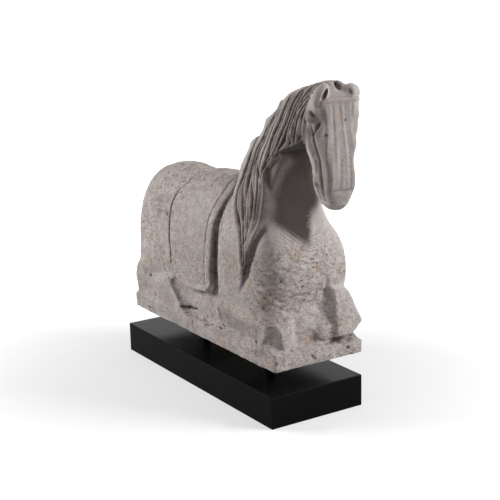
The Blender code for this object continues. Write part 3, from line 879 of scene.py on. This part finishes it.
def hollows_shade(x, y, z):
    """The dark brown in the hollows of the cheeks, the nostrils and the ears: painted shade, and partly the
    stone's own brown.
    """
    s, v, w = head_lengths(x, y, z)
    a = np.abs(v)
    small = np.minimum(ear_hollows(s, v, w), nostril_hollows(s, a, w))
    painted_dark = np.maximum(0.42 * ramp(-cheek_hollow(s, a, w), -1.5, 0.5), 0.28 * ramp(-small, -2, 2))
    return painted_dark * on_head(x, z)


def patches_and_shade(x, y, z, upward):
    """Faint darkening: patches on the chest and the rump, painted shadow along the right foreleg under its
    shin's ridge, and painted shade on upward faces of the back and on the sides of the head.
    """
    s, v, w = head_lengths(x, y, z)
    patches = 0.42 * egg_mark(x, y, z, (286, -76, 172), (54, 66, 46))
    patches = patches + 0.16 * egg_mark(x, y, z, (-200, -90, 250), (60, 60, 50))
    patches = patches + 0.12 * egg_mark(x, y, z, (292, -84, 88), (40, 44, 22))
    # Painted shadow along the foreleg under the shin's ridge
    patches = patches + 0.28 * between(z, 26, 46, 10) * between(x, 116, 262, 20) * ramp(-y, 98, 108)
    # Painted shade on the upward faces of the back
    patches = patches + 0.10 * ramp(upward, 0.3, 0.8) * (z > 240) * (x < 120)
    # Painted shade on the sides of the head
    side_of_head = ramp(np.abs(v), 21, 28) * ramp(s, -66, -56) * between(w, -196, -30, 20)
    return patches + 0.34 * side_of_head * on_head(x, z)


def walls_shade(x, y, z):
    """Painted shade on the steep edges of the blanket's front and of the mane's smooth lock, which face away
    from the light.
    """
    past_front = x - blanket_front(z)
    past_lock = x - mane_edges(z)[2]
    front = between(past_front, -4, 8, 4) * ramp(z - blanket_hem(x), 0, 20) * ramp(np.abs(y), 30, 60)
    lock = between(past_lock, -1, 9, 5) * between(z, 140, 290, 20) * ramp(-y, 60, 90)
    return np.maximum(0.42 * front, 0.48 * lock)


def neck_shade(x, y, z):
    """Painted shade on the neck where the strands end beside the cheek, in the head's shadow."""
    painted_dark = (0.18 + 0.72 * (1 - ramp(z, 460, 476))) * ramp(x - mane_edges(z)[1], -52, -14)
    painted_dark = painted_dark * between(z, 438, 552, 8) * (x > 268) * ramp(12 - y, 0, 10)
    return painted_dark * ramp(only_near(on_head(x, z), head, x, y, z), 0.8, 3)


def mark_surface(mesh, field):
    """Keep on each point of the mesh what the stone's finish goes by."""
    points = (read_points(mesh, "co") - (0, 0, SLAB_TOP)) / UNIT
    normals = read_points(mesh, "vector")
    near, far, sharp = stone_around(field, points, normals)
    x, y, z = points.T
    # Painted highlight on sharp edges and the cheek's rim, left off where stone stands close in front
    edges = np.maximum(np.clip(1.3 * sharp - 0.12, 0, 1), cheek_rim_highlight(x, y, z)) * (1 - near)
    bedded = 0.22 * ramp(x, 236, 280) * between(z, 60, 215, 20) * ramp(40 - y, -30, 30)
    # Painted shade with brown deposits: darker the more stone stands close in front of a point, and along the
    # cut lines and the mane's grooves
    store(mesh, "hollow", np.clip(np.maximum(1.1 * near + 0.35 * far, 0.8 * carved_lines(x, y, z)), 0, 1))
    # Painted highlights on edges, the cheek's rim and the strands' backs
    store(mesh, "crest", np.maximum(edges, strand_highlights(x, y, z)))
    # Painted shade on the throat, the neck by the cheek, the steep walls, the head's hollows and sides, under
    # the shin's ridge and on upward faces, with some patina and darker patches
    store(mesh, "shade_and_patina", most(throat_shade(x, y, z), hollows_shade(x, y, z), neck_shade(x, y, z),
                             walls_shade(x, y, z), patches_and_shade(x, y, z, normals[:, 2])))
    store(mesh, "pit", 1 - ramp(pit_distance(x, y, z), 0.4, 2.2))
    store(mesh, "worn", 0.62 - 0.42 * finely_carved(x, z) + 0.12 * (z < 70) + bedded)


# Shader helpers
def new_node(tree, kind, **settings):
    """A new node with its settings, in the next place of a grid."""
    node = tree.nodes.new(kind)
    row, column = divmod(len(tree.nodes), 8)
    node.location = (240 * column, -320 * row)
    for name, value in settings.items():
        setattr(node, name, value)
    return node


def feed(tree, node, values):
    """Give a node's sockets their values, each a number, a colour or another node's output."""
    for name, value in values.items():
        if isinstance(value, bpy.types.NodeSocket):
            tree.links.new(value, node.inputs[name])
        else:
            node.inputs[name].default_value = value


def noise(tree, vector, scale, detail=3.0, roughness=0.55, distortion=0.0):
    """A noise texture's value."""
    node = new_node(tree, "ShaderNodeTexNoise")
    feed(tree, node, {"Vector": vector, "Scale": scale, "Detail": detail, "Roughness": roughness,
                      "Distortion": distortion})
    return node.outputs["Fac"]


def remap(tree, value, low, high, to_low=0.0, to_high=1.0):
    """The value spread smoothly from low..high to to_low..to_high."""
    node = new_node(tree, "ShaderNodeMapRange", interpolation_type="SMOOTHSTEP")
    feed(tree, node, {"Value": value, "From Min": low, "From Max": high, "To Min": to_low, "To Max": to_high})
    return node.outputs["Result"]


def calculate(tree, operation, *values):
    """Values put together; each may be a plain number."""
    node = new_node(tree, "ShaderNodeMath", operation=operation)
    feed(tree, node, dict(enumerate(values)))
    return node.outputs["Value"]


def times(tree, a, b):
    """Two values multiplied."""
    return calculate(tree, "MULTIPLY", a, b)


def blend_colour(tree, factor, a, b, mode="MIX"):
    """Colour a turned towards colour b by factor; each may be a socket or a plain colour."""
    node = new_node(tree, "ShaderNodeMix", data_type="RGBA", blend_type=mode)
    feed(tree, node, {0: factor, 6: a, 7: b})
    return node.outputs[2]


def attribute(tree, name):
    """A number kept on the mesh for the finish."""
    return new_node(tree, "ShaderNodeAttribute", attribute_name=name).outputs["Fac"]


def grey(tree, value):
    """A grey of the given brightness."""
    node = new_node(tree, "ShaderNodeCombineColor")
    feed(tree, node, {"Red": value, "Green": value, "Blue": value})
    return node.outputs["Color"]


def bump(tree, height, strength, distance):
    """The surface's normal, bumped by a height."""
    node = new_node(tree, "ShaderNodeBump")
    feed(tree, node, {"Height": height, "Strength": strength, "Distance": distance})
    return node.outputs["Normal"]


def new_group(name, setting, outputs):
    """An empty shader node group with a vector and one setting, what it is given, and its end node."""
    group = bpy.data.node_groups.new(name, "ShaderNodeTree")
    for socket, kind in (("Vector", "NodeSocketVector"), (setting, "NodeSocketFloat")):
        group.interface.new_socket(socket, in_out="INPUT", socket_type=kind)
    for socket in outputs:
        group.interface.new_socket(socket, in_out="OUTPUT", socket_type="NodeSocketFloat")
    return group, new_node(group, "NodeGroupInput").outputs, new_node(group, "NodeGroupOutput")


def use_group(tree, group, vector, setting, value):
    """Place a group in a material with its own value for the setting, and give its outputs."""
    node = new_node(tree, "ShaderNodeGroup", node_tree=group)
    feed(tree, node, {"Vector": vector, setting: value})
    return node.outputs


def new_material(name):
    """A material with its tree, its shader and the object's coordinates."""
    material = bpy.data.materials.new(name)
    material.use_nodes = True
    tree = material.node_tree
    place = new_node(tree, "ShaderNodeTexCoord").outputs["Object"]
    return material, tree, tree.nodes["Principled BSDF"], place


# Effects that more than one finish uses, and the finishes
def speckle_group():
    """Fine light and dark specks with a height of their own."""
    group, given, end = new_group("speckle", "Scale", ("Value", "Height"))
    small = noise(group, given["Vector"], given["Scale"], 2.0, 0.5)
    large = noise(group, given["Vector"], times(group, given["Scale"], 0.2), 3.0, 0.5)
    both = calculate(group, "MULTIPLY_ADD", small, 0.6, times(group, large, 0.4))
    feed(group, end, {"Value": remap(group, both, 0.36, 0.64), "Height": both})
    return group


def weathering_group():
    """Eroded stone: shallow hollows in level beds, with the stain that settles in them, and small pits."""
    group, given, end = new_group("weathering", "Coverage", ("Stain", "Pit", "Height"))
    place = given["Vector"]
    flattened = new_node(group, "ShaderNodeVectorMath", operation="MULTIPLY")
    feed(group, flattened, {0: place, 1: (1, 1, 2)})
    level = flattened.outputs["Vector"]
    beds = noise(group, level, 95.0, 5.0, 0.68, 0.4)
    flecks = noise(group, level, 62.0, 2.5, 0.6, 0.8)
    grains = noise(group, place, 185.0, 4.0, 0.7)
    where = remap(group, noise(group, place, 6.5, 3.0, 0.6), 0.36, 0.62, 0.25, 1.0)
    spread = times(group, where, times(group, given["Coverage"], 2.0))
    eroded = times(group, remap(group, beds, 0.50, 0.36), spread)
    spots = times(group, remap(group, grains, 0.47, 0.33), spread)
    deepest = calculate(group, "MAXIMUM", remap(group, grains, 0.34, 0.27), remap(group, flecks, 0.33, 0.27))
    pits = times(group, deepest, spread)
    relief = calculate(group, "MULTIPLY_ADD", grains, 0.5, beds)
    feed(group, end, {"Stain": calculate(group, "MAXIMUM", eroded, times(group, spots, 0.8)),
                      "Pit": pits, "Height": calculate(group, "SUBTRACT", relief, pits)})
    return group


def stone_finish(speckle, weathering):
    """Pale weathered stone: warm greys, ochre in eroded hollows, brown deposits, dark pits, painted shade and
    highlights.
    """
    material, tree, shader, place = new_material("weathered_stone")
    worn = attribute(tree, "worn")
    eroded = use_group(tree, weathering, place, "Coverage", worn)
    fine = use_group(tree, speckle, place, "Scale", 330.0)

    patches = remap(tree, noise(tree, place, 8.0, 4.0, 0.6, 0.4), 0.38, 0.62)
    stone = blend_colour(tree, patches, STONE_GREY, STONE_PALE)
    warm = remap(tree, noise(tree, place, 31.0, 5.0, 0.65), 0.49, 0.68, 0.0, 0.8)
    stone = blend_colour(tree, warm, stone, OCHRE)
    specks = grey(tree, remap(tree, fine["Value"], 0.0, 1.0, 0.80, 1.15))
    stone = blend_colour(tree, remap(tree, worn, 0.2, 0.62, 0.5, 1.0), stone, specks, "MULTIPLY")
    stone = blend_colour(tree, times(tree, eroded["Stain"], 0.66), stone, STAIN)

    uneven = remap(tree, noise(tree, place, 48.0, 4.0, 0.65), 0.30, 0.62, 0.6, 1.2)
    # Brown deposits and painted shade in the hollows and along the cut lines
    deposit_and_shade = times(tree, attribute(tree, "hollow"), uneven)
    stone = blend_colour(tree, remap(tree, deposit_and_shade, 0.08, 0.52, 0.0, 0.92), stone, DEPOSIT_AND_SHADE)
    # Painted shade with some patina, in near-black brown
    stone = blend_colour(tree, times(tree, attribute(tree, "shade_and_patina"), 0.93), stone, PATINA_AND_SHADE)
    # Painted highlights on the edges, the cheek's rim and the strands' backs
    painted_highlight = remap(tree, attribute(tree, "crest"), 0.15, 0.75, 0.0, 0.5)
    stone = blend_colour(tree, painted_highlight, stone, HIGHLIGHT_STONE)
    pits = calculate(tree, "MAXIMUM", eroded["Pit"], attribute(tree, "pit"))
    stone = blend_colour(tree, times(tree, pits, 0.85), stone, PIT_BROWN)

    relief = times(tree, eroded["Height"], remap(tree, worn, 0.2, 0.62, 0.35, 1.0))
    rough = calculate(tree, "MULTIPLY_ADD", fine["Height"], 0.35, relief)
    feed(tree, shader, {"Base Color": stone, "Normal": bump(tree, rough, 0.75, 0.0034),
                        "Roughness": 0.88, "Specular IOR Level": 0.25})
    return material


def lacquer_finish(speckle):
    """Satin black lacquer with the faint unevenness of a brushed coat."""
    material, tree, shader, place = new_material("satin_black_lacquer")
    dust = use_group(tree, speckle, place, "Scale", 900.0)
    sheen = remap(tree, noise(tree, place, 9.0, 4.0), 0.3, 0.7, 0.15, 0.22)
    feed(tree, shader, {"Base Color": LACQUER_BLACK, "Roughness": sheen, "Specular IOR Level": 0.075,
                        "Normal": bump(tree, dust["Height"], 0.05, 0.0004)})
    return material


def steel_finish(speckle):
    """Blackened steel, a little rougher than the lacquer."""
    material, tree, shader, place = new_material("blackened_steel")
    grain = use_group(tree, speckle, place, "Scale", 1200.0)
    feed(tree, shader, {"Base Color": STEEL_BLACK, "Metallic": 1.0,
                        "Roughness": remap(tree, grain["Value"], 0.0, 1.0, 0.34, 0.5)})
    return material


def floor_finish():
    """Plain white studio floor that brightens to pure white away from the object."""
    material, tree, shader, place = new_material("white_floor")
    distance = new_node(tree, "ShaderNodeVectorMath", operation="LENGTH")
    feed(tree, distance, {0: place})
    glow = remap(tree, distance.outputs["Value"], 0.3, 1.6, 0.45, 0.95)
    seen = new_node(tree, "ShaderNodeLightPath").outputs["Is Camera Ray"]
    feed(tree, shader, {"Base Color": FLOOR_GREY, "Roughness": 0.9, "Specular IOR Level": 0.1,
                        "Emission Color": WHITE, "Emission Strength": times(tree, glow, seen)})
    return material


# Building
def build_stone(finish):
    """The horse and its slab, carved from one stone."""
    points, quads, triangles = work_stone(horse, FIELD_LOW, FIELD_HIGH, GRAIN)
    points[:, 2] = np.maximum(points[:, 2], -SLAB_DEPTH)
    mesh = bpy.data.meshes.new("carved_horse")
    mesh.from_pydata((points * UNIT + (0, 0, SLAB_TOP)).tolist(), [], quads.tolist() + triangles.tolist())
    ob = bpy.data.objects.new("carved_horse", mesh)
    bpy.context.scene.collection.objects.link(ob)
    count = 2 * len(quads) + len(triangles)
    if count > MOST_TRIANGLES:
        thin = ob.modifiers.new("thin out", "DECIMATE")
        thin.ratio = MOST_TRIANGLES / count
        plain_mesh(ob)
    mark_surface(ob.data, horse)
    ob.data.shade_smooth()
    ob.data.materials.clear()
    ob.data.materials.append(finish)
    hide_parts("stone_horse")
    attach(ob, "root")


def finish_stand(lacquer, steel):
    """Give the plinth and the posts their finishes."""
    for name, material in (("plinth", lacquer), ("post_front", steel), ("post_rear", steel)):
        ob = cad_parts[name]
        ob.data.materials.clear()
        ob.data.materials.append(material)


def build_floor(finish):
    """A floor far wider than the view."""
    bpy.ops.mesh.primitive_plane_add(size=FLOOR_SIZE, location=(0, 0, 0))
    ob = bpy.context.object
    ob.name = "floor"
    ob.data.materials.append(finish)


def view_axes():
    """The camera's right, up and backward directions."""
    back = np.array([sin(VIEW_AZIMUTH) * cos(VIEW_ELEVATION), -cos(VIEW_AZIMUTH) * cos(VIEW_ELEVATION),
                     sin(VIEW_ELEVATION)])
    right = np.array([cos(VIEW_AZIMUTH), sin(VIEW_AZIMUTH), 0.0])
    up = np.cross(back, right)
    return cos(VIEW_ROLL) * right + sin(VIEW_ROLL) * up, cos(VIEW_ROLL) * up - sin(VIEW_ROLL) * right, back


def set_down(ob, right, up, back, place):
    """Put a camera or a light in the scene, with its own axes along the given directions."""
    ob.matrix_world = Matrix([(right[i], up[i], back[i], place[i]) for i in range(3)] + [(0, 0, 0, 1)])
    bpy.context.scene.collection.objects.link(ob)


def build_camera():
    """The camera at the photograph's angle."""
    right, up, back = view_axes()
    camera = bpy.data.cameras.new("camera")
    camera.sensor_width = SENSOR
    camera.lens = SENSOR * FOCAL_PIXELS / PICTURE_PIXELS
    ob = bpy.data.objects.new("camera", camera)
    set_down(ob, right, up, back, back * VIEW_DISTANCE + right * VIEW_RIGHT + up * VIEW_UP)
    bpy.context.scene.camera = ob


def softbox(name, place, power):
    """A square soft light aimed at the horse."""
    light = bpy.data.lights.new(name, "AREA")
    light.size = SOFTBOX_SIZE
    light.energy = power
    back = np.array(place) - np.array(LIGHT_AIM)
    back = back / np.linalg.norm(back)
    right = np.cross((0, 0, 1), back)
    right = right / np.linalg.norm(right)
    set_down(bpy.data.objects.new(name, light), right, np.cross(back, right), back, place)


def build_light():
    """A white tent, a softbox on either side of the view and none from the camera's side."""
    world = bpy.data.worlds.new("white tent")
    world.use_nodes = True
    tree = world.node_tree
    ray = new_node(tree, "ShaderNodeLightPath").outputs
    direct = calculate(tree, "MAXIMUM", ray["Is Camera Ray"], ray["Is Glossy Ray"])
    glow = remap(tree, direct, 0.0, 1.0, 0.22, 1.0)
    feed(tree, tree.nodes["Background"], {"Color": WHITE, "Strength": glow})
    bpy.context.scene.world = world
    for name, (place, power) in SOFTBOXES.items():
        softbox(name, place, power)
    bpy.context.scene.view_settings.view_transform = "Standard"


def main():
    """Build the camera, the stone, the stand's finishes, the floor and the light."""
    speckle = speckle_group()
    build_camera()
    build_stone(stone_finish(speckle, weathering_group()))
    finish_stand(lacquer_finish(speckle), steel_finish(speckle))
    build_floor(floor_finish())
    build_light()


main()
